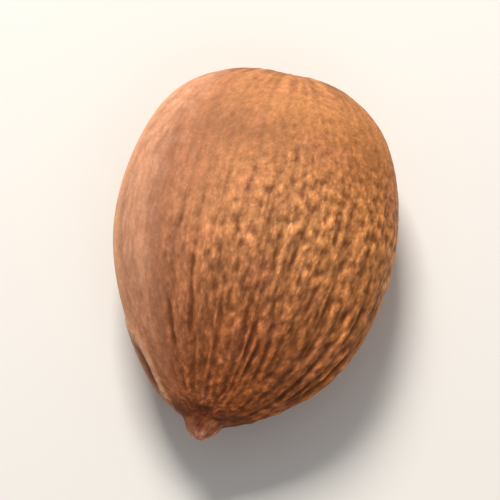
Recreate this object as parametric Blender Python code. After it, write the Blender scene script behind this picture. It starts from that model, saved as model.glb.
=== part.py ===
"""An apricot kernel: the bare seed from inside an apricot stone, lying on its broad side.

Metres, +Z up. The tip points to -Y and the round end to +Y. The origin is at the middle of the footprint,
on the surface that the kernel lies on. The kernel grew as one piece, so it is one solid and one node.
"""

import math
import random

import bmesh
import bpy
import numpy as np

MM = 0.001

# Driving sizes
LENGTH = 17.0 * MM
WIDTH = 12.3 * MM
THICKNESS = 5.8 * MM

# Outline from above and from the side. Each flank follows b^p * (1 - b)^q, where b runs from 0 at the tip to 1 at
# the round end. A lower p is fuller near the tip, and a lower q is blunter at the round end.
RIGHT_SHARE = 0.497  # of the width lies on the +X flank
RIGHT_FULLNESS = (0.53, 0.435)
LEFT_FULLNESS = (0.59, 0.405)
THICKNESS_FULLNESS = (0.74, 0.50)
UPPER_SHARE = 0.53  # of the thickness lies above the edge line
SECTION_POWER = 2.25  # 2 is an ellipse, and higher is squarer
EVENING = 0.17  # radians that points move round the section, which evens out their distance

# The nub at the tip, where the seedling's root would come out
NUB_SHARE = 0.046  # of the length lies ahead of the plump body
NUB_LENGTH = 0.073
NUB_HALF_WIDTH = 1.06 * MM
NUB_HALF_THICKNESS = 0.80 * MM
NUB_POINT = 0.50  # 1 is a cone, and lower is blunter
NUB_LEAN = 0.28 * MM  # towards the left flank
NUB_LEAN_SPAN = 0.16
UNION_POWER = 3.0  # a higher power leaves a sharper corner between the nub and the body

# A short furrow down the nub's upper face
FURROW_BEARING = 1.70  # radians round the long axis
FURROW_HALF_WIDTH = 0.30
FURROW_DEPTH = 0.14 * MM
FURROW_SPAN = (0.003, 0.090)
FURROW_RAMPS = (0.015, 0.035)

# Broad unevenness of the whole form
SWELLS = 7
SWELL_HEIGHT = (0.037 * MM, 0.075 * MM)
SWELL_WAVES = (0.6, 1.7)  # in each direction, over the kernel's length
SWELL_RAMPS = (0.25, 0.15)  # shares of the length over which they fade at the tip and at the round end

# Veins, which run from the round end to the tip with plump ribs between them
VEINS = 32
SIDE_VEINS = 14  # short ones, near the tip
VEIN_JITTER = 0.30  # of the spacing
VEIN_HALF_WIDTH = 0.050  # radians round the long axis
VEIN_DEPTH = (0.065 * MM, 0.145 * MM)
VEIN_WANDER = (0.015, 0.055)
VEIN_BENDS = (0.6, 1.8)
VEIN_START = (0.035, 0.075)  # shares of the length, from the tip
VEIN_END = (0.78, 0.97)
SIDE_VEIN_END = (0.34, 0.62)
VEIN_RAMPS = (0.12, 0.26)
VEIN_LOSS = 0.75  # of its depth, from the tip's half to the round end's
VEIN_LOSS_SPAN = (0.25, 0.70)

# The raphe, a smooth strip along the left flank, from the scar to the round end
RAPHE_BEARING = 2.92  # a little above the edge line
RAPHE_HALF_WIDTH = 0.54  # radians round the long axis
RAPHE_NARROW_END = 0.44
RAPHE_TAPER = (0.30, 0.80)
RAPHE_EDGE = (-0.05, 0.10)  # radians from its edge over which the veins begin
RAPHE_CREASE_DEPTH = 0.10 * MM
RAPHE_CREASE_HALF_WIDTH = 0.060
RAPHE_SPAN = (0.06, 0.88)
RAPHE_RAMPS = (0.08, 0.25)

# The raphe's cord, a low line along the strip, from the hilum to the chalaza
CORD_BEARING = 2.98
CORD_HALF_WIDTH = 0.050  # radians
CORD_HEIGHT = 0.06 * MM
CORD_WANDER = 0.035
CORD_BENDS = 2.3
CORD_SPAN = (0.19, 0.99)
CORD_RAMPS = (0.06, 0.05)

# The hilum, an oval scar on the left flank beside the tip, where the stalk of the seed was
HILUM_BEARING = 3.00  # radians round the long axis
HILUM_PLACE = 0.150
HILUM_HALF_LENGTH = 0.058  # of the length
HILUM_HALF_WIDTH = 0.165  # radians
HILUM_DEPTH = 0.17 * MM
HILUM_SLOPE = (0.25, 1.0)  # half sizes of the oval over which its side rises
HILUM_LIP = 0.09 * MM
HILUM_LIP_PLACE = 1.30  # half sizes of the oval
HILUM_LIP_WIDTH = 0.28

# The chalaza, a shallow round dimple in the round end, where the veins come together
CHALAZA_RADIUS = 0.75 * MM
CHALAZA_DEPTH = 0.09 * MM
CHALAZA_HEIGHT = 0.50 * MM  # above the edge line

# The flat spot that it rests on
FLAT_DEPTH = 0.10 * MM
FLAT_FADE = 0.10 * MM  # height over which the relief fades towards it

# Mesh
AROUND = 128
ALONG = 40
POLE_MERGE = 0.035 * MM
PROBE = 1e-3  # step for surface normals, in radians
TINY = 1e-12

SEED = 5
SEED_COAT = (0.53, 0.235, 0.095, 1.0)
SEED_COAT_ROUGHNESS = 0.62


def smooth_step(low, high, value):
    """0 up to low, 1 from high, and a smooth rise between them."""
    share = np.clip((value - low) / (high - low), 0.0, 1.0)
    return share * share * (3.0 - 2.0 * share)


def bell(off):
    """1 at 0, falling away smoothly on both sides, with off in half widths."""
    return np.exp(-0.5 * off**2)


def plump(share, fullness):
    """The body's half size at that share of the length, as a share of its largest."""
    tip_power, round_power = fullness
    body = np.clip((share - NUB_SHARE) / (1.0 - NUB_SHARE), 0.0, 1.0)
    peak = tip_power / (tip_power + round_power)
    largest = peak**tip_power * (1.0 - peak) ** round_power
    return body**tip_power * (1.0 - body) ** round_power / largest


def with_nub(body, share, nub):
    """The body's half size joined to the nub's."""
    ahead = np.clip(share / NUB_LENGTH, 0.0, 1.0)
    behind = np.clip((1.0 - share) / (1.0 - NUB_LENGTH), 0.0, 1.0)
    knob = nub * ahead**NUB_POINT * np.sqrt(behind)
    return (body**UNION_POWER + knob**UNION_POWER) ** (1.0 / UNION_POWER)


def rounded(value):
    """A sine or cosine, squared off to the section's shape."""
    return np.sign(value) * np.abs(value) ** (2.0 / SECTION_POWER)


def ramped(share, span, ramps):
    """1 inside the span, falling to 0 at its ends over the two ramps."""
    rise = smooth_step(span[0], span[0] + ramps[0], share)
    fall = smooth_step(span[1] - ramps[1], span[1], share)
    return rise * (1.0 - fall)


def swells():
    """Long waves in several directions, each (direction with wave number, phase, height)."""
    draw = random.Random(SEED)
    found = []
    for _ in range(SWELLS):
        wave = [draw.uniform(*SWELL_WAVES) * draw.choice((-1, 1)) for _ in range(3)]
        found.append((wave, draw.uniform(0, math.tau), draw.uniform(*SWELL_HEIGHT)))
    return found


def veins():
    """Each vein as (bearing, depth, wander, bends, phase, span)."""
    draw = random.Random(SEED + 1)
    found = []
    for count, ends in ((VEINS, VEIN_END), (SIDE_VEINS, SIDE_VEIN_END)):
        for place in range(count):
            bearing = (place + 0.5 + draw.uniform(-VEIN_JITTER, VEIN_JITTER)) * math.tau / count
            found.append(
                (
                    bearing,
                    draw.uniform(*VEIN_DEPTH),
                    draw.uniform(*VEIN_WANDER),
                    draw.uniform(*VEIN_BENDS),
                    draw.uniform(0, math.tau),
                    (draw.uniform(*VEIN_START), draw.uniform(*ends)),
                )
            )
    return found


def turned_from(angle, bearing):
    """How far angle is from bearing, the short way round."""
    return (angle - bearing + math.pi) % math.tau - math.pi


def smooth_form(turn, polar):
    """The kernel without its relief. turn goes round the long axis from +X, polar from the tip to the round end."""
    share = (1.0 - np.cos(polar)) / 2.0
    spread = turn + EVENING * np.sin(2.0 * turn)
    across, up = np.cos(spread), np.sin(spread)
    right = with_nub(WIDTH * RIGHT_SHARE * plump(share, RIGHT_FULLNESS), share, NUB_HALF_WIDTH)
    left = with_nub(WIDTH * (1.0 - RIGHT_SHARE) * plump(share, LEFT_FULLNESS), share, NUB_HALF_WIDTH)
    height = THICKNESS * np.where(up > 0, UPPER_SHARE, 1.0 - UPPER_SHARE)
    height = with_nub(height * plump(share, THICKNESS_FULLNESS), share, NUB_HALF_THICKNESS)
    x = np.where(across > 0, right, left) * rounded(across)
    x = x - NUB_LEAN * (1.0 - smooth_step(0.0, NUB_LEAN_SPAN, share))
    y = LENGTH * (share - 0.5)
    z = height * rounded(up)
    place = np.stack([x, y, z], axis=-1)
    outward = place / np.maximum(np.linalg.norm(place, axis=-1, keepdims=True), MM)
    rise = np.zeros_like(share)
    for wave, phase, size in swells():
        rise += size * np.sin(math.tau * (place @ np.array(wave)) / LENGTH + phase)
    rise *= ramped(share, (0.0, 1.0), SWELL_RAMPS)
    return place + outward * rise[..., None]


def outward_normals(turn, polar):
    """Unit normals of the smooth form."""
    round_about = smooth_form(turn + PROBE, polar) - smooth_form(turn - PROBE, polar)
    lengthways = smooth_form(turn, polar + PROBE) - smooth_form(turn, polar - PROBE)
    normal = np.cross(lengthways, round_about)
    return normal / np.maximum(np.linalg.norm(normal, axis=-1, keepdims=True), TINY)


def on_raphe(turn, share):
    """How far the raphe's strip reaches either side of its middle, and how far round this point is from it."""
    narrowing = smooth_step(*RAPHE_TAPER, share)
    reach = RAPHE_HALF_WIDTH + (RAPHE_NARROW_END - RAPHE_HALF_WIDTH) * narrowing
    return reach, np.abs(turned_from(turn, RAPHE_BEARING))


def vein_relief(turn, share):
    """Depth of the veins' grooves, which the raphe's strip has none of."""
    deepest = np.zeros_like(share)
    for bearing, depth, wander, bends, phase, span in veins():
        middle = bearing + wander * np.sin(math.tau * bends * share + phase)
        off = turned_from(turn, middle) / VEIN_HALF_WIDTH
        deepest = np.maximum(deepest, depth * bell(off) * ramped(share, span, VEIN_RAMPS))
    reach, off = on_raphe(turn, share)
    clear = smooth_step(RAPHE_EDGE[0], RAPHE_EDGE[1], off - reach)
    return -deepest * clear * (1.0 - VEIN_LOSS * smooth_step(*VEIN_LOSS_SPAN, share))


def raphe_relief(turn, share):
    """The creases either side of the raphe's strip, and the cord along it."""
    reach, off = on_raphe(turn, share)
    crease = RAPHE_CREASE_DEPTH * bell((off - reach) / RAPHE_CREASE_HALF_WIDTH)
    bearing = CORD_BEARING + CORD_WANDER * np.sin(math.tau * CORD_BENDS * share)
    cord = CORD_HEIGHT * bell(turned_from(turn, bearing) / CORD_HALF_WIDTH)
    return cord * ramped(share, CORD_SPAN, CORD_RAMPS) - crease * ramped(share, RAPHE_SPAN, RAPHE_RAMPS)


def hilum_relief(turn, share):
    """The scar's oval hollow and the lip round it."""
    off = turned_from(turn, HILUM_BEARING) / HILUM_HALF_WIDTH
    out = np.hypot(off, (share - HILUM_PLACE) / HILUM_HALF_LENGTH)
    hollow = HILUM_DEPTH * (1.0 - smooth_step(*HILUM_SLOPE, out))
    return HILUM_LIP * bell((out - HILUM_LIP_PLACE) / HILUM_LIP_WIDTH) - hollow


def furrow_relief(turn, share):
    """The furrow down the nub."""
    furrow = FURROW_DEPTH * bell(turned_from(turn, FURROW_BEARING) / FURROW_HALF_WIDTH)
    return -furrow * ramped(share, FURROW_SPAN, FURROW_RAMPS)


def kernel_form(turn, polar):
    """Points of the finished kernel, with its flat spot at the lowest z."""
    share = (1.0 - np.cos(polar)) / 2.0
    place = smooth_form(turn, polar)
    flat_z = place[..., 2].min() + FLAT_DEPTH
    relief = vein_relief(turn, share) + raphe_relief(turn, share)
    relief += hilum_relief(turn, share) + furrow_relief(turn, share)
    relief *= smooth_step(0.0, FLAT_FADE, place[..., 2] - flat_z)
    place = place + outward_normals(turn, polar) * relief[..., None]
    chalaza = np.array([0.0, LENGTH / 2, CHALAZA_HEIGHT])
    away = np.linalg.norm(place - chalaza, axis=-1) / CHALAZA_RADIUS
    place[..., 1] -= CHALAZA_DEPTH * bell(away)
    place[..., 2] = np.maximum(place[..., 2], flat_z)
    return place


def seed_coat_material():
    material = bpy.data.materials.new("seed_coat")
    material.use_nodes = True
    surface = material.node_tree.nodes["Principled BSDF"]
    surface.inputs["Base Color"].default_value = SEED_COAT
    surface.inputs["Roughness"].default_value = SEED_COAT_ROUGHNESS
    surface.inputs["Metallic"].default_value = 0.0
    material.diffuse_color = SEED_COAT
    return material


def kernel_mesh():
    """A sphere whose poles become the tip and the round end, with each point moved by kernel_form."""
    ball = bmesh.new()
    bmesh.ops.create_uvsphere(ball, u_segments=AROUND, v_segments=ALONG, radius=1.0)
    points = np.array([vertex.co[:] for vertex in ball.verts])
    polar = np.arccos(np.clip(-points[:, 2], -1.0, 1.0))
    turn = np.arctan2(points[:, 1], points[:, 0])
    placed = kernel_form(turn, polar)
    low, high = placed.min(axis=0), placed.max(axis=0)
    placed -= np.array([(low[0] + high[0]) / 2, (low[1] + high[1]) / 2, low[2]])
    for vertex, place in zip(ball.verts, placed):
        vertex.co = place
    bmesh.ops.remove_doubles(ball, verts=ball.verts[:], dist=POLE_MERGE)
    bmesh.ops.triangulate(ball, faces=ball.faces[:])
    bmesh.ops.recalc_face_normals(ball, faces=ball.faces[:])
    mesh = bpy.data.meshes.new("kernel")
    ball.to_mesh(mesh)
    ball.free()
    mesh.shade_smooth()
    return mesh


for old in list(bpy.data.objects):
    bpy.data.objects.remove(old)
collection = bpy.data.collections.new("apricot_kernel")
bpy.context.scene.collection.children.link(collection)
kernel = bpy.data.objects.new("kernel", kernel_mesh())
kernel.data.materials.append(seed_coat_material())
collection.objects.link(kernel)
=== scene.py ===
import math
import random

import bmesh
import bpy
import numpy as np
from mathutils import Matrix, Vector, noise
from mathutils.kdtree import KDTree


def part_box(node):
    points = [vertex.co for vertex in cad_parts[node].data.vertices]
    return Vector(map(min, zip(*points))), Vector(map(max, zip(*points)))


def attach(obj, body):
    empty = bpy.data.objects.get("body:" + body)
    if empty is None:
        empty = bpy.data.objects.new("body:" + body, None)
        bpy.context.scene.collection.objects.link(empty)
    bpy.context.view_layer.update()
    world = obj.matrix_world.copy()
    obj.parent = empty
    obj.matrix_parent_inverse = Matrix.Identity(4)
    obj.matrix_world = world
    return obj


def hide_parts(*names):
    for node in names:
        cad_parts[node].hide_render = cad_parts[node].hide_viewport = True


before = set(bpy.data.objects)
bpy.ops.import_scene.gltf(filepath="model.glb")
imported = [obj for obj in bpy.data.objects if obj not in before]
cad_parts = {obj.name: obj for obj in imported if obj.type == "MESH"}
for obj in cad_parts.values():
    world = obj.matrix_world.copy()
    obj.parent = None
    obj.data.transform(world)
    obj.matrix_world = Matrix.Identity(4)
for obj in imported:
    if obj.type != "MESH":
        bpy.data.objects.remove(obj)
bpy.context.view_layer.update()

# The kernel's body
# A kernel is the whole seed of an apricot, taken out of its stone and dried. It grew as one piece, a thin
# brown coat on two plump seed leaves, in a flat and lopsided heart shape. It lies loose on one broad side.
MM = 0.001
LENGTH = 17.0 * MM
WIDTH = 12.3 * MM
THICKNESS = 5.8 * MM
RIGHT_SHARE = 0.497  # of the width lies on the +X flank
RIGHT_FULLNESS = (0.53, 0.435)  # powers at the tip and at the round end, and lower is fuller
LEFT_FULLNESS = (0.59, 0.405)
THICKNESS_FULLNESS = (0.74, 0.50)
UPPER_SHARE = 0.53  # of the thickness lies above the edge line
SECTION_POWER = 2.25  # 2 is an ellipse, and higher is squarer
EVENING = 0.17  # radians that points move round the section, which evens out their distance
NUB_SHARE = 0.046  # of the length is the nub, ahead of the plump body
NUB_LENGTH = 0.073
NUB_HALF_WIDTH = 1.06 * MM
NUB_HALF_THICKNESS = 0.80 * MM
NUB_POINT = 0.50  # 1 is a cone, and lower is blunter
NUB_LEAN = 0.28 * MM  # towards the left flank
NUB_LEAN_SPAN = 0.16
UNION_POWER = 3.0
SWELLS = 7
SWELL_HEIGHT = (0.037 * MM, 0.075 * MM)
SWELL_WAVES = (0.6, 1.7)  # in each direction, over the kernel's length
SWELL_RAMPS = (0.25, 0.15)
SQUARES = 128  # on each side of the cage's six faces
PROBE = 1e-3  # radians, the step for directions
TINY = 1e-12
SEED = 5


def smooth_step(low, high, value):
    """0 up to low, 1 from high, and a smooth rise between them."""
    share = np.clip((value - low) / (high - low), 0.0, 1.0)
    return share * share * (3.0 - 2.0 * share)


def ramped(share, span, ramps):
    """1 inside the span, falling to 0 at its ends over the two ramps."""
    rise = smooth_step(span[0], span[0] + ramps[0], share)
    fall = smooth_step(span[1] - ramps[1], span[1], share)
    return rise * (1.0 - fall)


def bell(off):
    """1 at 0, falling away smoothly on both sides, with off in half widths."""
    return np.exp(-0.5 * off**2)


def plump(share, fullness):
    """The body's half size at that share of the length, as a share of its largest."""
    tip_power, round_power = fullness
    body = np.clip((share - NUB_SHARE) / (1.0 - NUB_SHARE), 0.0, 1.0)
    peak = tip_power / (tip_power + round_power)
    largest = peak**tip_power * (1.0 - peak) ** round_power
    return body**tip_power * (1.0 - body) ** round_power / largest


def with_nub(body, share, nub):
    """The body's half size joined to the nub's."""
    ahead = np.clip(share / NUB_LENGTH, 0.0, 1.0)
    behind = np.clip((1.0 - share) / (1.0 - NUB_LENGTH), 0.0, 1.0)
    knob = nub * ahead**NUB_POINT * np.sqrt(behind)
    return (body**UNION_POWER + knob**UNION_POWER) ** (1.0 / UNION_POWER)


def rounded(value):
    """A sine or cosine, squared off to the section's shape."""
    return np.sign(value) * np.abs(value) ** (2.0 / SECTION_POWER)


def swell_heights(place):
    """Long low waves in several directions, which make the form uneven."""
    draw = random.Random(SEED)
    rise = np.zeros(len(place))
    for _ in range(SWELLS):
        wave = [draw.uniform(*SWELL_WAVES) * draw.choice((-1, 1)) for _ in range(3)]
        phase = draw.uniform(0, math.tau)
        rise += draw.uniform(*SWELL_HEIGHT) * np.sin(math.tau * (place @ np.array(wave)) / LENGTH + phase)
    return rise


def body_form(turn, polar):
    """Points of the smooth body. turn goes round the long axis from +X, and polar from tip to round end."""
    share = (1.0 - np.cos(polar)) / 2.0
    spread = turn + EVENING * np.sin(2.0 * turn)
    across, up = np.cos(spread), np.sin(spread)
    right = with_nub(WIDTH * RIGHT_SHARE * plump(share, RIGHT_FULLNESS), share, NUB_HALF_WIDTH)
    left = with_nub(WIDTH * (1.0 - RIGHT_SHARE) * plump(share, LEFT_FULLNESS), share, NUB_HALF_WIDTH)
    height = THICKNESS * np.where(up > 0, UPPER_SHARE, 1.0 - UPPER_SHARE)
    height = with_nub(height * plump(share, THICKNESS_FULLNESS), share, NUB_HALF_THICKNESS)
    x = np.where(across > 0, right, left) * rounded(across)
    x = x - NUB_LEAN * (1.0 - smooth_step(0.0, NUB_LEAN_SPAN, share))
    place = np.stack([x, LENGTH * (share - 0.5), height * rounded(up)], axis=-1)
    outward = place / np.maximum(np.linalg.norm(place, axis=-1, keepdims=True), MM)
    rise = swell_heights(place) * ramped(share, (0.0, 1.0), SWELL_RAMPS)
    return place + outward * rise[:, None]


def places_of(mesh):
    found = np.empty(len(mesh.vertices) * 3, np.float32)
    mesh.vertices.foreach_get("co", found)
    return found.reshape(-1, 3).astype(float)


def set_places(mesh, places):
    mesh.vertices.foreach_set("co", places.astype(np.float32).ravel())
    mesh.update()


def normals_of(mesh):
    found = np.empty(len(mesh.vertices) * 3, np.float32)
    mesh.vertex_normals.foreach_get("vector", found)
    return found.reshape(-1, 3).astype(float)


# A cube cut into squares and blown up to a ball, which has its points at nearly even distances
ball = bmesh.new()
bmesh.ops.create_cube(ball, size=2.0)
bmesh.ops.subdivide_edges(ball, edges=ball.edges[:], cuts=SQUARES - 1, use_grid_fill=True)
skin_mesh = bpy.data.meshes.new("kernel_skin")
ball.to_mesh(skin_mesh)
ball.free()
ball_points = np.tan(places_of(skin_mesh) * math.pi / 4)
ball_points /= np.linalg.norm(ball_points, axis=1, keepdims=True)
turn = np.arctan2(ball_points[:, 2], ball_points[:, 0])
polar = np.arccos(np.clip(-ball_points[:, 1], -1.0, 1.0))
share = (1.0 - np.cos(polar)) / 2.0
body = body_form(turn, polar)
set_places(skin_mesh, body)
outward = normals_of(skin_mesh)
step_along = body_form(turn, polar + PROBE) - body_form(turn, polar - PROBE)
along = step_along / np.maximum(np.linalg.norm(step_along, axis=1, keepdims=True), TINY)
step_round = body_form(turn + PROBE, polar) - body_form(turn - PROBE, polar)
per_radian = np.linalg.norm(step_round, axis=1) / (2.0 * PROBE)

# The raphe, hilum and chalaza
# The raphe is the smooth strip along one edge, which fed the seed. It runs from the hilum, a short scar
# beside the tip where the seed hung from its stalk, to the chalaza, a shallow dimple in the round end.
RAPHE_BEARING = 2.92  # a little above the edge line
RAPHE_HALF_WIDTH = 0.54  # radians round the long axis
RAPHE_NARROW_END = 0.44
RAPHE_TAPER = (0.30, 0.80)
RAPHE_EDGE = (-0.05, 0.10)
RAPHE_TONE_EDGE = (-0.26, 0.22)  # its pale colour ends softly
RAPHE_TONE_SPAN = (0.02, 1.0)
RAPHE_TONE_RAMPS = (0.45, 0.12)
RAPHE_TONE_RAGGED = 0.17
RAPHE_TONE_SIZE = 0.5 * MM
RAPHE_CREASE_DEPTH = 0.10 * MM
RAPHE_CREASE_HALF_WIDTH = 0.060
RAPHE_SPAN = (0.06, 0.88)
RAPHE_RAMPS = (0.08, 0.25)
CORD_BEARING = 2.98  # the low line along the strip
CORD_HALF_WIDTH = 0.050
CORD_HEIGHT = 0.06 * MM
CORD_WANDER = 0.035
CORD_BENDS = 2.3
CORD_SPAN = (0.19, 0.99)
CORD_RAMPS = (0.06, 0.05)
HILUM_BEARING = 3.00
HILUM_PLACE = 0.150
HILUM_HALF_LENGTH = 0.058
HILUM_HALF_WIDTH = 0.165  # radians
HILUM_DEPTH = 0.17 * MM
HILUM_SLOPE = (0.25, 1.0)  # half sizes of the oval over which its side rises
HILUM_LIP = 0.09 * MM
HILUM_LIP_PLACE = 1.30  # half sizes of the oval
HILUM_LIP_WIDTH = 0.28
HILUM_LIP_HIGHLIGHT_SPAN = (0.6, -0.6)  # half widths from its middle line, over which the lip turns paler upwards with painted highlight
HILUM_LIP_LEAST_PALE = 0.40
CHALAZA_RADIUS = 0.75 * MM
CHALAZA_DEPTH = 0.09 * MM
CHALAZA_HEIGHT = 0.50 * MM  # above the edge line


def turned_from(angle, bearing):
    """How far angle is from bearing, the short way round."""
    return (angle - bearing + math.pi) % math.tau - math.pi


raphe_reach = RAPHE_HALF_WIDTH + (RAPHE_NARROW_END - RAPHE_HALF_WIDTH) * smooth_step(*RAPHE_TAPER, share)
raphe_off = np.abs(turned_from(turn, RAPHE_BEARING))
off_raphe = smooth_step(*RAPHE_EDGE, raphe_off - raphe_reach)
crease = bell((raphe_off - raphe_reach) / RAPHE_CREASE_HALF_WIDTH) * ramped(share, RAPHE_SPAN, RAPHE_RAMPS)
cord_bearing = CORD_BEARING + CORD_WANDER * np.sin(math.tau * CORD_BENDS * share)
cord = bell(turned_from(turn, cord_bearing) / CORD_HALF_WIDTH) * ramped(share, CORD_SPAN, CORD_RAMPS)
hilum_off = turned_from(turn, HILUM_BEARING) / HILUM_HALF_WIDTH
hilum_out = np.hypot(hilum_off, (share - HILUM_PLACE) / HILUM_HALF_LENGTH)
hilum_lip = bell((hilum_out - HILUM_LIP_PLACE) / HILUM_LIP_WIDTH)
# The lip's pale colour is stronger on its upper side, a painted highlight
hilum_lit_side = smooth_step(*HILUM_LIP_HIGHLIGHT_SPAN, hilum_off)
hilum_pale_and_highlight = hilum_lip * (HILUM_LIP_LEAST_PALE + (1.0 - HILUM_LIP_LEAST_PALE) * hilum_lit_side)
hilum_hollow = 1.0 - smooth_step(*HILUM_SLOPE, hilum_out)
chalaza_away = np.linalg.norm(body - np.array([0.0, LENGTH / 2, CHALAZA_HEIGHT]), axis=1)
chalaza = bell(chalaza_away / CHALAZA_RADIUS)

# The nub's furrow
# The seedling's root lies in the nub at the tip. Over it the coat dried into a short furrow, which runs
# down to the nub's end.
FURROW_BEARING = 1.70  # radians round the long axis
FURROW_HALF_WIDTH = 0.30
FURROW_DEPTH = 0.14 * MM
FURROW_SPAN = (0.003, 0.090)
FURROW_RAMPS = (0.015, 0.035)

furrow = bell(turned_from(turn, FURROW_BEARING) / FURROW_HALF_WIDTH)
furrow *= ramped(share, FURROW_SPAN, FURROW_RAMPS)

# Veins and ribs
# The coat's veins run between the round end and the tip, where they crowd. As it dried, the coat drew in
# along them, so they are grooves between low plump ribs, each with a dark vein at its bottom.
VEINS = 32
SIDE_VEINS = 14  # short ones, near the tip
VEIN_JITTER = 0.30  # of the spacing
VEIN_HALF_WIDTH = 0.050  # radians round the long axis
VEIN_DEPTH = (0.065 * MM, 0.145 * MM)
VEIN_WANDER = (0.015, 0.055)
VEIN_BENDS = (0.6, 1.8)
VEIN_START = (0.035, 0.075)
VEIN_END = (0.78, 0.97)
SIDE_VEIN_END = (0.34, 0.62)
VEIN_RAMPS = (0.12, 0.26)
VEIN_LOSS = 0.75  # of its depth, from the tip's half to the round end's
VEIN_LOSS_SPAN = (0.25, 0.70)
VEIN_LINE_HALF_WIDTH = 0.075 * MM
VEIN_LINE_DEPTH = 0.040 * MM
VEIN_BREAK_SIZE = 0.8 * MM  # of the stretches where a vein shows or is lost
VEIN_BREAK_SPAN = (-0.15, 0.35)
VEIN_LINE_LOSS = 0.80
VEIN_TRACE_HALF_WIDTH = 0.11 * MM  # of the faint colour that each vein shows, as far as the chalaza
VEIN_TRACE_END = 0.9995
VEIN_TRACE_FADE = 0.004
VEIN_TRACE_DEPTH = 0.026 * MM  # round the chalaza
VEIN_TRACE_SUNK = (0.86, 0.97)

veins = np.zeros_like(share)
vein_lines = np.zeros_like(share)
vein_traces = np.zeros_like(share)
draw = random.Random(SEED + 1)
for count, ends in ((VEINS, VEIN_END), (SIDE_VEINS, SIDE_VEIN_END)):
    for place in range(count):
        bearing = (place + 0.5 + draw.uniform(-VEIN_JITTER, VEIN_JITTER)) * math.tau / count
        depth = draw.uniform(*VEIN_DEPTH)
        wander = draw.uniform(*VEIN_WANDER)
        bends = draw.uniform(*VEIN_BENDS)
        phase = draw.uniform(0, math.tau)
        span = (draw.uniform(*VEIN_START), draw.uniform(*ends))
        off = turned_from(turn, bearing + wander * np.sin(math.tau * bends * share + phase))
        reached = ramped(share, span, VEIN_RAMPS)
        veins = np.maximum(veins, depth * reached * bell(off / VEIN_HALF_WIDTH))
        vein_lines = np.maximum(vein_lines, reached * bell(off * per_radian / VEIN_LINE_HALF_WIDTH))
        traced = ramped(share, (span[0], VEIN_TRACE_END), (VEIN_RAMPS[0], VEIN_TRACE_FADE))
        vein_traces = np.maximum(vein_traces, traced * bell(off * per_radian / VEIN_TRACE_HALF_WIDTH))
veins *= off_raphe * (1.0 - VEIN_LOSS * smooth_step(*VEIN_LOSS_SPAN, share))

# Places for the fine texture, on a round body pressed short, so that the texture is drawn out along the
# veins, most of all near the tip
FIBRE_WIDTH = 0.8  # of the kernel's, which makes the texture a little wider
FIBRE_STRETCH = 3.2  # at the tip
FIBRE_EASING = 0.31  # how much less it is drawn out towards the round end
fibre_radius = FIBRE_WIDTH * with_nub(WIDTH / 2 * plump(share, RIGHT_FULLNESS), share, NUB_HALF_WIDTH)
fibre_length = share * LENGTH * (1.0 / FIBRE_STRETCH + FIBRE_EASING * share**2)
fibres = np.stack([fibre_radius * np.cos(turn), fibre_radius * np.sin(turn), fibre_length], axis=1)
shown = np.array([noise.noise(Vector(point)) for point in fibres / VEIN_BREAK_SIZE])
uneven = np.array([noise.noise(Vector(point)) for point in fibres / RAPHE_TONE_SIZE])
raphe_tone = 1.0 - smooth_step(*RAPHE_TONE_EDGE, raphe_off - raphe_reach + RAPHE_TONE_RAGGED * uneven)
vein_lines *= off_raphe * smooth_step(*VEIN_BREAK_SPAN, shown)
vein_lines *= 1.0 - VEIN_LINE_LOSS * smooth_step(*VEIN_LOSS_SPAN, share)

# Wrinkles
# Between the veins the thin coat is finely wrinkled lengthways, most of all near the tip. Each wrinkle is
# short, and starts and ends anywhere.
WRINKLES = 700
NUB_WRINKLES = 22
WRINKLE_HALF_WIDTH = (0.060 * MM, 0.110 * MM)
WRINKLE_DEPTH = (0.012 * MM, 0.045 * MM)
WRINKLE_START = (0.0, 0.72)
WRINKLE_LENGTH = (0.05, 0.20)  # shares of the kernel's length
WRINKLE_WANDER = (0.004, 0.030)  # radians
WRINKLE_BENDS = (1.0, 4.0)
WRINKLE_RAMP = 0.4  # of the wrinkle's length, at each end
NUB_WRINKLE_START = (-0.03, 0.03)
WRINKLE_LOSS = 0.65
WRINKLE_LOSS_SPAN = (0.15, 0.50)
ON_RAPHE = 0.42  # of the texture's height is left on the raphe
SMOOTH_END = (0.43, 0.80)  # shares of the length over which the texture fades towards the round end
SMOOTH_END_LOSS = 0.70
SMOOTH_END_SLANT = 0.12  # the texture reaches further up the right flank than up the left
CALM_FLANK = (1.5 * MM, -3.5 * MM)  # the left flank is a little smoother
CALM_FLANK_LOSS = 0.52

wrinkles = np.zeros_like(share)
draw = random.Random(SEED + 2)
for starts in [WRINKLE_START] * WRINKLES + [NUB_WRINKLE_START] * NUB_WRINKLES:
    bearing = draw.uniform(0, math.tau)
    depth = draw.uniform(*WRINKLE_DEPTH)
    half_width = draw.uniform(*WRINKLE_HALF_WIDTH)
    start = draw.uniform(*starts)
    length = draw.uniform(*WRINKLE_LENGTH)
    wander = draw.uniform(*WRINKLE_WANDER)
    bends = draw.uniform(*WRINKLE_BENDS)
    there = np.flatnonzero((share > start) & (share < start + length))
    middle = bearing + wander * np.sin(math.tau * bends * share[there] + bearing)
    off = turned_from(turn[there], middle) * per_radian[there]
    reached = ramped(share[there], (start, start + length), (WRINKLE_RAMP * length, WRINKLE_RAMP * length))
    wrinkles[there] = np.maximum(wrinkles[there], depth * reached * bell(off / half_width))
smooth_place = share - SMOOTH_END_SLANT * body[:, 0] / (WIDTH / 2)
textured = ON_RAPHE + (1.0 - ON_RAPHE) * off_raphe
textured *= 1.0 - SMOOTH_END_LOSS * smooth_step(*SMOOTH_END, smooth_place)
textured *= 1.0 - CALM_FLANK_LOSS * smooth_step(*CALM_FLANK, body[:, 0])
wrinkles *= textured * (1.0 - WRINKLE_LOSS * smooth_step(*WRINKLE_LOSS_SPAN, share))
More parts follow.
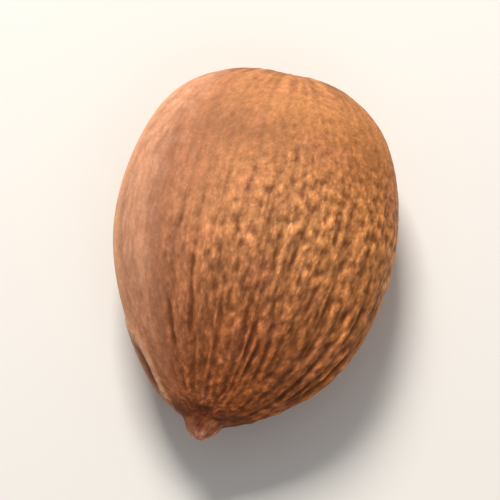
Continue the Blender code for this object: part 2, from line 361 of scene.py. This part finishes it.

# Grains
# The coat's surface cells dried into hard grains, drawn out along the veins, packed with dark gaps between
# and set on low clumps of their shape. The gaps are dark partly in their own colour and partly with painted
# shade. Grains and clumps are lower at the round end, on the left flank and on the raphe.
CLUMP_SPACING = (0.38 * MM, 0.66 * MM)  # across and along the veins
CLUMP_RISE = (0.002 * MM, 0.023 * MM)
GRAIN_SPACING = (0.20 * MM, 0.33 * MM)
GRAIN_RISE = (0.002 * MM, 0.015 * MM)
DASH_HEIGHT = 0.043 * MM  # of the uneven dashes, which run through both
DASH_SIZE = 0.25 * MM
GRAIN_TURN = 0.40  # radians either way from the veins' direction
GRAIN_SIZES = 0.35  # how much the grains' sizes differ, in spacings
GRAIN_SHOULDER = 0.80  # spacings over which a grain rises from its edge
GRAIN_RAGGED = 0.32  # of the spacing
GRAIN_NEIGHBOURS = 12

body_points = [Vector(point) for point in body]
ways = [Vector(way) for way in along]


def apart(gap, way, spacing):
    """How far apart two grains are, squared, in spacings."""
    lengthwise = gap.dot(way)
    return (lengthwise / spacing[1]) ** 2 + (gap.length_squared - lengthwise**2) / spacing[0] ** 2


def scattered(spacing, draw):
    """Points of the body for the grains' middles, no two nearer than the spacing."""
    steps = [(x, y, z) for x in (-1, 0, 1) for y in (-1, 0, 1) for z in (-1, 0, 1)]
    order = list(range(len(body)))
    draw.shuffle(order)
    cells, kept = {}, []
    for index in order:
        here, way = body_points[index], ways[index]
        x, y, z = (int(value // spacing[1]) for value in here)
        beside = [(x + step[0], y + step[1], z + step[2]) for step in steps]
        taken = [other for cell in beside for other in cells.get(cell, ())]
        if all(apart(here - other, way, spacing) >= 1.0 for other in taken):
            cells.setdefault((x, y, z), []).append(here)
            kept.append(index)
    return kept


def grain_layer(spacing, rises, draw):
    """Heights of one layer of grains over the whole body."""
    grains = scattered(spacing, draw)
    angles = np.array([draw.uniform(-GRAIN_TURN, GRAIN_TURN) for _ in grains])
    heights = np.array([draw.uniform(*rises) for _ in grains])
    sizes = np.array([draw.uniform(0.0, GRAIN_SIZES) for _ in grains])
    sideways = np.cross(outward[grains], along[grains])
    grain_ways = along[grains] * np.cos(angles)[:, None] + sideways * np.sin(angles)[:, None]
    tree = KDTree(len(grains))
    for place, index in enumerate(grains):
        tree.insert(body_points[index], place)
    tree.balance()
    near = np.array([[found[1] for found in tree.find_n(point, GRAIN_NEIGHBOURS)] for point in body_points])
    ragged = np.array([noise.noise_vector(point / spacing[0]) for point in body_points])
    gap = (body + ragged * GRAIN_RAGGED * spacing[0])[:, None, :] - body[grains][near]
    lengthwise = (gap * grain_ways[near]).sum(axis=2)
    sideways2 = np.maximum((gap**2).sum(axis=2) - lengthwise**2, 0.0)
    away = np.sqrt((lengthwise / spacing[1]) ** 2 + sideways2 / spacing[0] ** 2) + sizes[near]
    nearest = np.take_along_axis(near, away.argmin(axis=1)[:, None], axis=1)[:, 0]
    away.sort(axis=1)
    return heights[nearest] * smooth_step(0.0, GRAIN_SHOULDER, away[:, 1] - away[:, 0])


noise.seed_set(SEED)  # noise_vector, which makes the grains ragged, goes by the clock without it
draw = random.Random(SEED + 3)
clumps = grain_layer(CLUMP_SPACING, CLUMP_RISE, draw)
grains = grain_layer(GRAIN_SPACING, GRAIN_RISE, draw)
dashes = DASH_HEIGHT * np.array([noise.noise(Vector(point)) for point in fibres / DASH_SIZE])

# The finished skin
# The relief stands on the smooth body, along its normals, and fades towards the small flat spot underneath.
# The chalaza is pressed in lengthways. The skin is then fitted to the solid that it stands for.
FLAT_DEPTH = 0.10 * MM
FLAT_FADE = 0.10 * MM
FAR_EDGE_BEARING = 0.11  # the edge across from the raphe, with a pale line that is partly painted highlight
FAR_EDGE_HALF_WIDTH = 0.040
FAR_EDGE_SPAN = (0.30, 0.86)
FAR_EDGE_RAMPS = (0.15, 0.15)
CREST_ROUNDS = 36  # of smoothing, to tell crests and hollows from the form under them
CREST_HEIGHT = 0.0215 * MM

flat_z = body[:, 2].min() + FLAT_DEPTH
fine_relief = (clumps + grains + dashes) * textured - VEIN_LINE_DEPTH * vein_lines - wrinkles
relief = fine_relief - veins
relief -= VEIN_TRACE_DEPTH * vein_traces * smooth_step(*VEIN_TRACE_SUNK, share)
relief += CORD_HEIGHT * cord + HILUM_LIP * hilum_lip
relief -= HILUM_DEPTH * hilum_hollow + RAPHE_CREASE_DEPTH * crease + FURROW_DEPTH * furrow
relief *= smooth_step(0.0, FLAT_FADE, body[:, 2] - flat_z)
placed = body + outward * relief[:, None]
placed[:, 1] -= CHALAZA_DEPTH * chalaza
placed[:, 2] = np.maximum(placed[:, 2], flat_z)
low, high = (np.array(corner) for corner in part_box("kernel"))
lowest = placed.min(axis=0)
placed = low + (placed - lowest) * (high - low) / (placed.max(axis=0) - lowest)
set_places(skin_mesh, placed)
skin_mesh.shade_smooth()


def smoothed(values, rounds):
    """Each point's value averaged with those of the points beside it, round after round."""
    ends = np.empty(len(skin_mesh.edges) * 2, np.int32)
    skin_mesh.edges.foreach_get("vertices", ends)
    first, second = ends.reshape(-1, 2).T
    count = len(values)
    beside = np.bincount(first, minlength=count) + np.bincount(second, minlength=count)
    for _ in range(rounds):
        around = np.bincount(first, values[second], count) + np.bincount(second, values[first], count)
        values = (values + around / beside) / 2.0
    return values


def keep_on_skin(name, values):
    """Stores a number for each point of the skin, which the material reads by name."""
    attribute = skin_mesh.attributes.new(name, "FLOAT", "POINT")
    attribute.data.foreach_set("value", values.astype(np.float32))


crest = (fine_relief - smoothed(fine_relief, CREST_ROUNDS)) / CREST_HEIGHT
far_edge = bell(turned_from(turn, FAR_EDGE_BEARING) / FAR_EDGE_HALF_WIDTH)
keep_on_skin("share_along", share)
keep_on_skin("crest", np.clip(crest, -1.0, 1.0))
keep_on_skin("vein", veins / VEIN_DEPTH[1])
keep_on_skin("vein_line", vein_lines)
keep_on_skin("vein_trace", vein_traces)
keep_on_skin("textured", textured)
keep_on_skin("far_edge", far_edge * ramped(share, FAR_EDGE_SPAN, FAR_EDGE_RAMPS))
keep_on_skin("raphe", raphe_tone * ramped(share, RAPHE_TONE_SPAN, RAPHE_TONE_RAMPS))
keep_on_skin("crease", crease)
keep_on_skin("cord", cord)
keep_on_skin("hilum_lip", hilum_pale_and_highlight)
keep_on_skin("hilum_hollow", hilum_hollow)
keep_on_skin("chalaza", chalaza)
keep_on_skin("furrow", furrow)

fibre_attribute = skin_mesh.attributes.new("fibre_place", "FLOAT_VECTOR", "POINT")
fibre_attribute.data.foreach_set("vector", fibres.astype(np.float32).ravel())

skin = bpy.data.objects.new("kernel_skin", skin_mesh)
bpy.context.scene.collection.objects.link(skin)

# The seed coat's finish
# The coat is matt and dry: tan at the round end, browner and redder towards the tip, dark in the veins and
# between the grains, paler on their crests, and pinkish along the raphe. Some of this is painted light:
# shade painted towards the tip, on the left flank, between the grains and in the creases, neck and furrow,
# and highlight painted on the crests, the far edge and the hilum's upper lip.
SCREEN_WHITE = 255
SCREEN_STRAIGHT = 0.04045  # the sRGB curve is straight up to here
SCREEN_SLOPE = 12.92
SCREEN_OFFSET = 0.055
SCREEN_POWER = 2.4

coat = bpy.data.materials.new("seed_coat")
coat.use_nodes = True
surface = coat.node_tree.nodes["Principled BSDF"]


def paint(red, green, blue):
    """A colour from its 0 to 255 values on screen."""
    screen = np.array([red, green, blue]) / SCREEN_WHITE
    curved = ((screen + SCREEN_OFFSET) / (1.0 + SCREEN_OFFSET)) ** SCREEN_POWER
    linear = np.where(screen <= SCREEN_STRAIGHT, screen / SCREEN_SLOPE, curved)
    return (*map(float, linear), 1.0)


def node(kind, inputs, **settings):
    """A new node with its settings, and each of its inputs set or joined."""
    made = coat.node_tree.nodes.new(kind)
    for name, value in settings.items():
        setattr(made, name, value)
    for socket, value in inputs.items():
        if isinstance(value, bpy.types.NodeSocket):
            coat.node_tree.links.new(value, made.inputs[socket])
        else:
            made.inputs[socket].default_value = value
    return made


def on_skin(name):
    return node("ShaderNodeAttribute", {}, attribute_name=name).outputs["Fac"]


def times(first, second):
    return node("ShaderNodeMath", {0: first, 1: second}, operation="MULTIPLY").outputs[0]


def from_to(value, span, results=(0.0, 1.0)):
    """The first result up to the span's start, the second from its end, and a smooth way between them."""
    inputs = {"Value": value, "From Min": span[0], "From Max": span[1]}
    inputs |= {"To Min": results[0], "To Max": results[1]}
    return node("ShaderNodeMapRange", inputs, interpolation_type="SMOOTHSTEP").outputs[0]


def tinted(under, over, share):
    """The colour under, mixed with the colour over by that share."""
    return node("ShaderNodeMix", {0: share, 6: under, 7: over}, data_type="RGBA").outputs[2]


def brightened(colour, factor):
    return node("ShaderNodeVectorMath", {0: colour, "Scale": factor}, operation="SCALE").outputs[0]


def graded(value, stops):
    """A colour that runs through the stops, each (value, colour)."""
    ramp = node("ShaderNodeValToRGB", {"Fac": value})
    elements = ramp.color_ramp.elements
    while len(elements) < len(stops):
        elements.new(1.0)
    for element, (place, colour) in zip(elements, stops):
        element.position = place
        element.color = colour
    return ramp.outputs["Color"]


def clouds(size, detail=2.0, place=None):
    """Soft noise from 0 to 1 with patches of about that size."""
    inputs = {"Vector": place or here, "Scale": 1.0 / size, "Detail": detail}
    return node("ShaderNodeTexNoise", inputs).outputs["Fac"]


here = node("ShaderNodeTexCoord", {}).outputs["Object"]
side = node("ShaderNodeSeparateXYZ", {0: here}).outputs["X"]
place_along = on_skin("share_along")
along_fibres = node("ShaderNodeAttribute", {}, attribute_name="fibre_place").outputs["Vector"]

# Tan that runs along the kernel, browner towards the tip partly in its own colour and partly with painted
# shade, darker on the left flank with painted shade, and more orange on the right
TIP_BROWN_AND_SHADE = paint(134, 67, 22)
LOWER_BROWN_AND_SHADE = paint(164, 95, 52)
MIDDLE_TAN = paint(214, 145, 91)
UPPER_TAN = paint(176, 113, 65)
ROUND_END_TAN = paint(197, 133, 81)
LENGTHWISE_TANS_AND_SHADE = (
    (0.03, TIP_BROWN_AND_SHADE),
    (0.25, LOWER_BROWN_AND_SHADE),
    (0.52, MIDDLE_TAN),
    (0.75, UPPER_TAN),
    (0.95, ROUND_END_TAN),
)
# Painted shade, which darkens the left flank
LEFT_FLANK_PAINTED_SHADE = paint(174, 113, 82)
LEFT_FLANK_SIDE = (0.5 * MM, -4.5 * MM)
LEFT_FLANK_ALONG = (0.85, 0.60)  # shares of the length
LEFT_FLANK_SHADE_MIX = (0.58, 0.80)
RIGHT_FLANK_ORANGE = paint(206, 128, 62)
RIGHT_FLANK_SIDE = (1.0 * MM, 6.0 * MM)
RIGHT_FLANK_ALONG = (0.85, 0.55)
RIGHT_FLANK_MIX = (0.30, 0.58)

plain = graded(place_along, LENGTHWISE_TANS_AND_SHADE)
left_shade_mix = times(from_to(side, LEFT_FLANK_SIDE), from_to(place_along, LEFT_FLANK_ALONG, LEFT_FLANK_SHADE_MIX))
plain = tinted(plain, LEFT_FLANK_PAINTED_SHADE, left_shade_mix)
right_mix = times(from_to(side, RIGHT_FLANK_SIDE), from_to(place_along, RIGHT_FLANK_ALONG, RIGHT_FLANK_MIX))
plain = tinted(plain, RIGHT_FLANK_ORANGE, right_mix)

# Pinkish patches, and broad lighter and darker ones
PATCH_PINK = paint(214, 134, 96)
PATCH_SIZE = 1.6 * MM
PATCH_SPAN = (0.50, 0.75)
PATCH_MIX = (0.0, 0.35)
SHADE_SIZE = 2.6 * MM
SHADE = (0.90, 1.08)  # times the colour, from low noise to high
CLOUD_SPAN = (0.30, 0.70)  # where most of the soft noise lies

plain = tinted(plain, PATCH_PINK, from_to(clouds(PATCH_SIZE), PATCH_SPAN, PATCH_MIX))
plain = brightened(plain, from_to(clouds(SHADE_SIZE), CLOUD_SPAN, SHADE))

# The raphe's pinkish strip, and a pale line along the edge across from it, partly painted highlight
RAPHE_PINK = paint(212, 154, 121)
RAPHE_CLOUDS = 0.45 * MM
RAPHE_MIX = (0.62, 0.95)
# A pale line on the far edge, partly its own colour and partly painted highlight
FAR_EDGE_PALE_AND_HIGHLIGHT = paint(230, 164, 112)
FAR_EDGE_HIGHLIGHT_MIX = 0.45

raphe_clouds = from_to(clouds(RAPHE_CLOUDS, place=along_fibres), CLOUD_SPAN, RAPHE_MIX)
plain = tinted(plain, RAPHE_PINK, times(on_skin("raphe"), raphe_clouds))
plain = tinted(plain, FAR_EDGE_PALE_AND_HIGHLIGHT, times(on_skin("far_edge"), FAR_EDGE_HIGHLIGHT_MIX))

# The reddish nub, with a ring of painted shade where it leaves the body, its furrow darkened with painted
# shade, and a paler end
NECK_PAINTED_SHADE = paint(80, 38, 18)
NECK_UPPER = (0.095, 0.060)  # shares of the length over which the ring fades
NECK_LOWER = (0.030, 0.050)
NECK_SHADE_MIX = 0.50
NUB_RED = paint(156, 96, 66)
NUB_SPAN = (0.055, 0.030)
NUB_MIX = (0.0, 0.75)
NUB_END_PINK = paint(204, 146, 120)
NUB_END_SPAN = (0.030, 0.0)
NUB_END_CLOUDS = 0.30 * MM
NUB_END_CLOUD_SPAN = (0.35, 0.60)
NUB_END_MIX = (0.45, 1.0)
# Painted shade in the nub's furrow
FURROW_PAINTED_SHADE = paint(112, 50, 26)
FURROW_SHADE_MIX = 0.75

neck_shade = times(from_to(place_along, NECK_UPPER), from_to(place_along, NECK_LOWER))
plain = tinted(plain, NECK_PAINTED_SHADE, times(neck_shade, NECK_SHADE_MIX))
plain = tinted(plain, NUB_RED, from_to(place_along, NUB_SPAN, NUB_MIX))
nub_end_clouds = from_to(clouds(NUB_END_CLOUDS), NUB_END_CLOUD_SPAN, NUB_END_MIX)
plain = tinted(plain, NUB_END_PINK, times(from_to(place_along, NUB_END_SPAN), nub_end_clouds))
plain = tinted(plain, FURROW_PAINTED_SHADE, times(on_skin("furrow"), FURROW_SHADE_MIX))

# Fine and broad streaks along the veins
STREAK_DRAW = (1.0, 1.0, 0.30)  # how far the texture is pressed, the last along the kernel
FINE_STREAKS = 0.20 * MM
FINE_STREAK_SHADE = (0.88, 1.10)
BROAD_STREAKS = 0.70 * MM
BROAD_STREAK_ALONG = (0.80, 0.45)
BROAD_STREAK_SPAN = (0.30, 0.62)
BROAD_STREAK_SHADE = (1.06, 0.91)

pressed = {0: along_fibres, 1: STREAK_DRAW}
streak_place = node("ShaderNodeVectorMath", pressed, operation="MULTIPLY").outputs[0]
plain = brightened(plain, from_to(clouds(FINE_STREAKS, place=streak_place), CLOUD_SPAN, FINE_STREAK_SHADE))
broad = times(clouds(BROAD_STREAKS, place=streak_place), from_to(place_along, BROAD_STREAK_ALONG))
plain = brightened(plain, from_to(broad, BROAD_STREAK_SPAN, BROAD_STREAK_SHADE))

# The grains' own colours, clumps first, which fade where the relief does
CLUMP_CLOUDS = 0.36 * MM
CLUMP_SHADE = (0.84, 1.16)
GRAIN_CLOUDS = 0.15 * MM
GRAIN_CLOUD_SPAN = (0.25, 0.75)
GRAIN_SHADE = (0.80, 1.18)
GRANULE_SIZE = 0.13 * MM
GRANULE_SPAN = (0.10, 0.65)
GRANULE_SHADE = (1.14, 0.82)
RAGGING = 0.10 * MM  # size and reach of the waves that make the granules ragged
COARSE_MIX = (0.25, 1.0)

ragging = node("ShaderNodeTexNoise", {"Vector": along_fibres, "Scale": 1.0 / RAGGING}).outputs["Color"]
ragged_by = node("ShaderNodeVectorMath", {0: ragging, "Scale": RAGGING}, operation="SCALE").outputs[0]
ragged_fibres = node("ShaderNodeVectorMath", {0: along_fibres, 1: ragged_by}, operation="ADD").outputs[0]
granule_cells = {"Vector": ragged_fibres, "Scale": 1.0 / GRANULE_SIZE}
granules = node("ShaderNodeTexVoronoi", granule_cells).outputs["Distance"]
coarse = brightened(plain, from_to(clouds(CLUMP_CLOUDS, place=along_fibres), CLOUD_SPAN, CLUMP_SHADE))
grain_clouds = clouds(GRAIN_CLOUDS, place=along_fibres)
coarse = brightened(coarse, from_to(grain_clouds, GRAIN_CLOUD_SPAN, GRAIN_SHADE))
coarse = brightened(coarse, from_to(granules, GRANULE_SPAN, GRANULE_SHADE))
colour = tinted(plain, coarse, from_to(on_skin("textured"), (0.0, 1.0), COARSE_MIX))

# Veins, darker on the right flank and again round the chalaza
VEIN_BROWN = paint(88, 42, 14)
VEIN_SIDE = (-3.0 * MM, 3.0 * MM)  # from the left flank to the right
VEIN_MIX = (0.16, 0.30)
VEIN_LINE_MIX = (0.26, 0.72)
TRACE_CLOUDS = 1.1 * MM
TRACE_CLOUD_SPAN = (0.35, 0.60)
TRACE_CLOUD_MIX = (0.35, 1.0)
TRACE_SPAN = (0.88, 0.985)  # shares of the length
TRACE_MIX = (0.17, 0.62)

colour = tinted(colour, VEIN_BROWN, times(on_skin("vein"), from_to(side, VEIN_SIDE, VEIN_MIX)))
colour = tinted(colour, VEIN_BROWN, times(on_skin("vein_line"), from_to(side, VEIN_SIDE, VEIN_LINE_MIX)))
trace_clouds = from_to(clouds(TRACE_CLOUDS), TRACE_CLOUD_SPAN, TRACE_CLOUD_MIX)
trace_mix = times(trace_clouds, from_to(place_along, TRACE_SPAN, TRACE_MIX))
colour = tinted(colour, VEIN_BROWN, times(on_skin("vein_trace"), trace_mix))

# Hollows between the grains, darker partly in their own colour and partly with painted shade, and crests,
# paler partly in their own colour and partly with painted highlight
GAP_BROWN_AND_SHADE = paint(98, 46, 14)
GAP_SPAN = (0.1, -1.0)  # of the crests' height
GAP_MIX = (0.0, 0.66)
CREST_SPAN = (0.0, 1.0)
CREST_PALE_AND_HIGHLIGHT = (1.0, 1.46)

crest_height = on_skin("crest")
colour = tinted(colour, GAP_BROWN_AND_SHADE, from_to(crest_height, GAP_SPAN, GAP_MIX))
colour = brightened(colour, from_to(crest_height, CREST_SPAN, CREST_PALE_AND_HIGHLIGHT))

# Painted shade in the creases beside the raphe, the raphe's cord, the hilum, whose lip is paler upwards
# with painted highlight, and the chalaza
CREASE_PAINTED_SHADE = paint(124, 70, 44)
CREASE_SHADE_MIX = 0.34
CORD_TAN = paint(228, 168, 122)
CORD_MIX = 0.50
HILUM_LIP_TAN = paint(230, 184, 148)
HILUM_LIP_CLOUDS = 0.25 * MM
HILUM_LIP_MIX = (0.25, 0.65)
HILUM_BROWN = paint(72, 44, 28)
HILUM_CLOUDS = 0.20 * MM
HILUM_MIX = (0.35, 0.68)
CHALAZA_BROWN = paint(120, 64, 36)
CHALAZA_CLOUDS = 0.40 * MM
CHALAZA_MIX = (0.40, 0.85)

colour = tinted(colour, CREASE_PAINTED_SHADE, times(on_skin("crease"), CREASE_SHADE_MIX))
colour = tinted(colour, CORD_TAN, times(on_skin("cord"), CORD_MIX))
# The hilum's pale lip, paler on its upper side with painted highlight
lip_clouds = from_to(clouds(HILUM_LIP_CLOUDS), CLOUD_SPAN, HILUM_LIP_MIX)
colour = tinted(colour, HILUM_LIP_TAN, times(on_skin("hilum_lip"), lip_clouds))
hilum_clouds = from_to(clouds(HILUM_CLOUDS, place=along_fibres), CLOUD_SPAN, HILUM_MIX)
colour = tinted(colour, HILUM_BROWN, times(on_skin("hilum_hollow"), hilum_clouds))
chalaza_clouds = from_to(clouds(CHALAZA_CLOUDS), CLOUD_SPAN, CHALAZA_MIX)
colour = tinted(colour, CHALAZA_BROWN, times(on_skin("chalaza"), chalaza_clouds))

# Small bright flecks where the coat is rough
FLECK_SIZE = 0.28 * MM
FLECK_SPAN = (0.60, 0.74)
FLECK_SHADE = (1.0, 1.30)

flecks = times(from_to(clouds(FLECK_SIZE, place=along_fibres), FLECK_SPAN), on_skin("textured"))
colour = brightened(colour, from_to(flecks, (0.0, 1.0), FLECK_SHADE))

# Its dry surface, with granules and fibres finer than the mesh
ROUGHNESS = 0.60
SHEEN = 0.18
BUMP_HEIGHT = 0.020 * MM
GRANULE_BUMP = 0.7
FIBRE_SIZE = 0.10 * MM
FIBRE_DETAIL = 3.0
FIBRE_BUMP = 0.8

coat.node_tree.links.new(colour, surface.inputs["Base Color"])
surface.inputs["Roughness"].default_value = ROUGHNESS
surface.inputs["Specular IOR Level"].default_value = SHEEN
coarse_bumps = {"Height": granules, "Distance": BUMP_HEIGHT, "Strength": GRANULE_BUMP}
bumped = node("ShaderNodeBump", coarse_bumps, invert=True).outputs["Normal"]
fibre_heights = clouds(FIBRE_SIZE, detail=FIBRE_DETAIL, place=along_fibres)
fine_bumps = {"Height": fibre_heights, "Distance": BUMP_HEIGHT, "Strength": FIBRE_BUMP, "Normal": bumped}
coat.node_tree.links.new(node("ShaderNodeBump", fine_bumps).outputs["Normal"], surface.inputs["Normal"])
skin_mesh.materials.append(coat)

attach(skin, "root")
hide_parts("kernel")

# The floor
# A plain pale studio floor, matt and far wider than the view. The kernel lies on it.
FLOOR_HALF = 0.6
FLOOR_PALE = (0.80, 0.78, 0.75, 1.0)
FLOOR_ROUGHNESS = 0.9

bpy.ops.mesh.primitive_plane_add(size=2 * FLOOR_HALF)
floor = bpy.context.object
floor.name = "floor"
floor_paint = bpy.data.materials.new("floor")
floor_paint.use_nodes = True
floor_surface = floor_paint.node_tree.nodes["Principled BSDF"]
floor_surface.inputs["Base Color"].default_value = FLOOR_PALE
floor_surface.inputs["Roughness"].default_value = FLOOR_ROUGHNESS
floor.data.materials.append(floor_paint)

# The light
# A large soft lamp behind and above, so that the round end is brightest, a weaker one in front, and an even
# white light all round.
KEY_PLACE = (-0.065, 0.14, 0.14)  # metres from the kernel's middle
KEY_SIZE = 0.08
KEY_POWER = 0.56
KEY_COLOUR = (1.0, 0.95, 0.88)
FILL_PLACE = (0.10, -0.15, 0.12)
FILL_SIZE = 0.15
FILL_POWER = 0.06
FILL_COLOUR = (1.0, 1.0, 1.0)
AROUND_COLOUR = (1.0, 1.0, 1.0, 1.0)
AROUND_STRENGTH = 0.30

middle = Vector((low + high) / 2)


def lamp(name, place, size, power, colour):
    light = bpy.data.lights.new(name, "AREA")
    light.size = size
    light.energy = power
    light.color = colour
    made = bpy.data.objects.new(name, light)
    made.location = middle + Vector(place)
    made.rotation_mode = "QUATERNION"
    made.rotation_quaternion = (-Vector(place)).to_track_quat("-Z", "Y")
    bpy.context.scene.collection.objects.link(made)


lamp("key", KEY_PLACE, KEY_SIZE, KEY_POWER, KEY_COLOUR)
lamp("fill", FILL_PLACE, FILL_SIZE, FILL_POWER, FILL_COLOUR)
world = bpy.data.worlds.new("studio")
world.use_nodes = True
world.node_tree.nodes["Background"].inputs["Color"].default_value = AROUND_COLOUR
world.node_tree.nodes["Background"].inputs["Strength"].default_value = AROUND_STRENGTH
bpy.context.scene.world = world
bpy.context.scene.view_settings.view_transform = "Standard"

# The camera
# It looks down on the broad face from beyond the tip, as in the photograph, with the tip at lower left.
AZIMUTH = math.radians(12.7)
ELEVATION = math.radians(70)
LENS = 135.0
FILLED = 0.80  # of the picture's height
NEAREST = 0.01  # of the distance, where the view starts
FARTHEST = 10.0  # metres

camera = bpy.data.objects.new("camera", bpy.data.cameras.new("camera"))
camera.data.lens = LENS
level = math.cos(ELEVATION)
back = Vector((math.sin(AZIMUTH) * level, -math.cos(AZIMUTH) * level, math.sin(ELEVATION)))
distance = LENGTH / FILLED * LENS / camera.data.sensor_width
camera.location = middle + back * distance
camera.rotation_mode = "QUATERNION"
camera.rotation_quaternion = (-back).to_track_quat("-Z", "Y")
camera.data.clip_start = distance * NEAREST
camera.data.clip_end = FARTHEST
bpy.context.scene.collection.objects.link(camera)
bpy.context.scene.camera = camera
